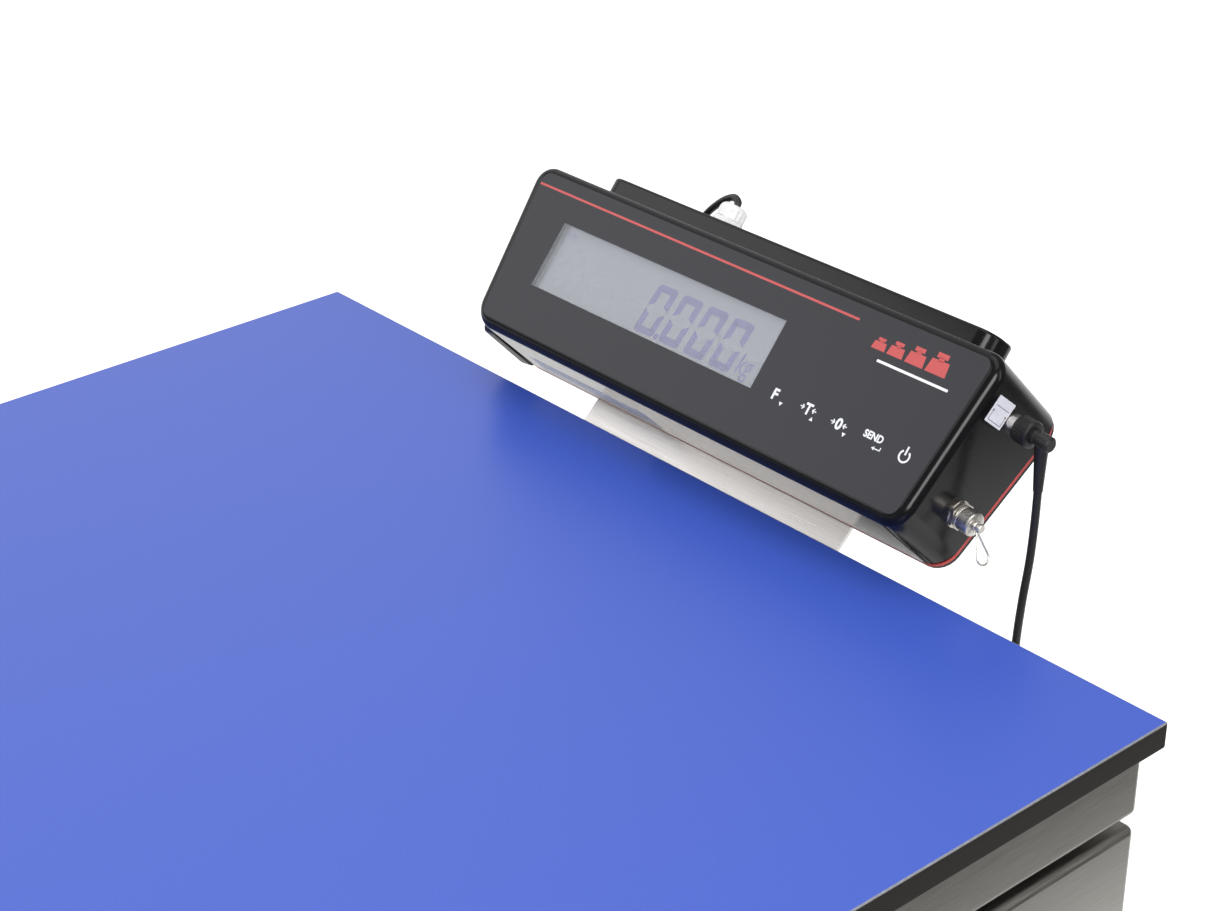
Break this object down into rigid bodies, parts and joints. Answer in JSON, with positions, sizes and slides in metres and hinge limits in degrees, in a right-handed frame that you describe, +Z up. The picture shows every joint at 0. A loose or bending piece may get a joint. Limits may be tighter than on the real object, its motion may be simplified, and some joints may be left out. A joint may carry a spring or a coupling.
{
  "type": "platform scale",
  "caption": "Low platform scale with a rectangular laminate deck over two tube frames and one load cell, levelling feet, and a tilted display terminal on a sheet bracket behind the deck.",
  "frame": {"origin": "on the floor, under the middle of the object's bounding box without its free cords", "axes": "+X to the right as seen by a person at the front, +Y towards the terminal at the back, +Z up"},
  "size_m": [0.6, 0.5975, 0.2382],
  "materials": {
    "laminate": "satin high-pressure laminate over a black core",
    "fastener_steel": "plain zinc",
    "brushed_stainless": "brushed along the length",
    "mild_stainless": "mill finish",
    "cell_aluminium": "anodised",
    "white_plastic": "satin",
    "level_plastic": "clear green",
    "foot_plastic": "matt",
    "gloss_black": "gloss",
    "membrane": "fine matt",
    "clear_window": "clear",
    "lcd_grey": "matt polariser",
    "frame_white": "matt",
    "board_green": "solder resist",
    "battery_wrap": "shrink wrap",
    "black_plastic": "satin",
    "gasket_red": "satin silicone",
    "nickel": "nickel plated",
    "label_paper": "matt foil",
    "cord_black": "satin PVC"
  },
  "bodies": {
    "base": {"base_side_tubes": "brushed_stainless", "base_end_tubes": "brushed_stainless", "base_crossbeams": "mild_stainless", "cell_seat": "mild_stainless", "load_cell": "cell_aluminium", "fixed_bolts": "fastener_steel", "stop_screws": "fastener_steel", "foot_bushes": "mild_stainless", "foot_lock_nuts": "mild_stainless", "base_gland": "white_plastic", "spirit_level": "level_plastic", "bracket": "brushed_stainless", "bracket_spacers": "brushed_stainless", "bracket_screws": "fastener_steel", "terminal_screws": "fastener_steel", "housing": "gloss_black", "foil": "membrane", "display_window": "clear_window", "lcd_glass": "lcd_grey", "lcd_frame": "frame_white", "main_board": "board_green", "battery_pack": "battery_wrap", "battery_strap": "black_plastic", "gasket": "gasket_red", "back_cover": "gloss_black", "cover_screws": "fastener_steel", "charger_socket": "nickel", "charger_plug": "black_plastic", "data_socket": "nickel", "data_nut": "nickel", "side_label": "label_paper", "type_label": "label_paper", "gland_body": "white_plastic", "gland_nut": "white_plastic", "end_plate": "black_plastic", "cell_cable": "cord_black", "charger_lead": "cord_black", "charger_coil": "cord_black", "cord_tie": "black_plastic", "power_supply": "black_plastic", "supply_pins": "nickel"},
    "deck": {"deck_board": "laminate", "board_screws": "fastener_steel", "upper_side_tubes": "brushed_stainless", "upper_end_tubes": "brushed_stainless", "deck_crossbeams": "mild_stainless", "load_spacer": "mild_stainless", "load_bolts": "fastener_steel"},
    "foot_front_left": {"foot_front_left": "foot_plastic"},
    "foot_front_right": {"foot_front_right": "foot_plastic"},
    "foot_back_left": {"foot_back_left": "foot_plastic"},
    "foot_back_right": {"foot_back_right": "foot_plastic"},
    "key_function": {"key_function": "membrane"},
    "key_tare": {"key_tare": "membrane"},
    "key_zero": {"key_zero": "membrane"},
    "key_send": {"key_send": "membrane"},
    "key_power": {"key_power": "membrane"},
    "charger_ring": {"charger_ring": "black_plastic"},
    "dust_cap": {"dust_cap": "nickel"},
    "wire_loop": {"wire_loop": "nickel"}
  },
  "joints": [
    {"name": "deck_travel", "type": "slide", "parent": "base", "child": "deck", "axis": [0, 0, -1], "range_m": [0, 0.0006], "stiffness_N_per_m": 1200000, "springref_m": -0.00009, "deforming": ["load_cell"]},
    {"name": "foot_front_left_height", "type": "slide", "parent": "base", "child": "foot_front_left", "axis": [0, 0, -1], "range_m": [0, 0.012]},
    {"name": "foot_front_right_height", "type": "slide", "parent": "base", "child": "foot_front_right", "axis": [0, 0, -1], "range_m": [0, 0.012]},
    {"name": "foot_back_left_height", "type": "slide", "parent": "base", "child": "foot_back_left", "axis": [0, 0, -1], "range_m": [0, 0.012]},
    {"name": "foot_back_right_height", "type": "slide", "parent": "base", "child": "foot_back_right", "axis": [0, 0, -1], "range_m": [0, 0.012]},
    {"name": "key_function_press", "type": "slide", "parent": "base", "child": "key_function", "axis": [0, 0.7683, -0.6401], "range_m": [0, 0.0005], "stiffness_N_per_m": 4000},
    {"name": "key_tare_press", "type": "slide", "parent": "base", "child": "key_tare", "axis": [0, 0.7683, -0.6401], "range_m": [0, 0.0005], "stiffness_N_per_m": 4000},
    {"name": "key_zero_press", "type": "slide", "parent": "base", "child": "key_zero", "axis": [0, 0.7683, -0.6401], "range_m": [0, 0.0005], "stiffness_N_per_m": 4000},
    {"name": "key_send_press", "type": "slide", "parent": "base", "child": "key_send", "axis": [0, 0.7683, -0.6401], "range_m": [0, 0.0005], "stiffness_N_per_m": 4000},
    {"name": "key_power_press", "type": "slide", "parent": "base", "child": "key_power", "axis": [0, 0.7683, -0.6401], "range_m": [0, 0.0005], "stiffness_N_per_m": 4000},
    {"name": "charger_ring_turn", "type": "hinge", "parent": "base", "child": "charger_ring", "pos_m": [0.16238, 0.25738, 0.20206], "axis": [0.9938, -0.0711, -0.0854], "continuous": true},
    {"name": "dust_cap_turn", "type": "hinge", "parent": "base", "child": "dust_cap", "pos_m": [0.15698, 0.22961, 0.16233], "axis": [0.9938, -0.0711, -0.0854], "continuous": true},
    {"name": "wire_loop_swing", "type": "hinge", "parent": "dust_cap", "child": "wire_loop", "pos_m": [0.17, 0.22868, 0.16121], "axis": [0.9938, -0.0711, -0.0854], "continuous": true}
  ]
}
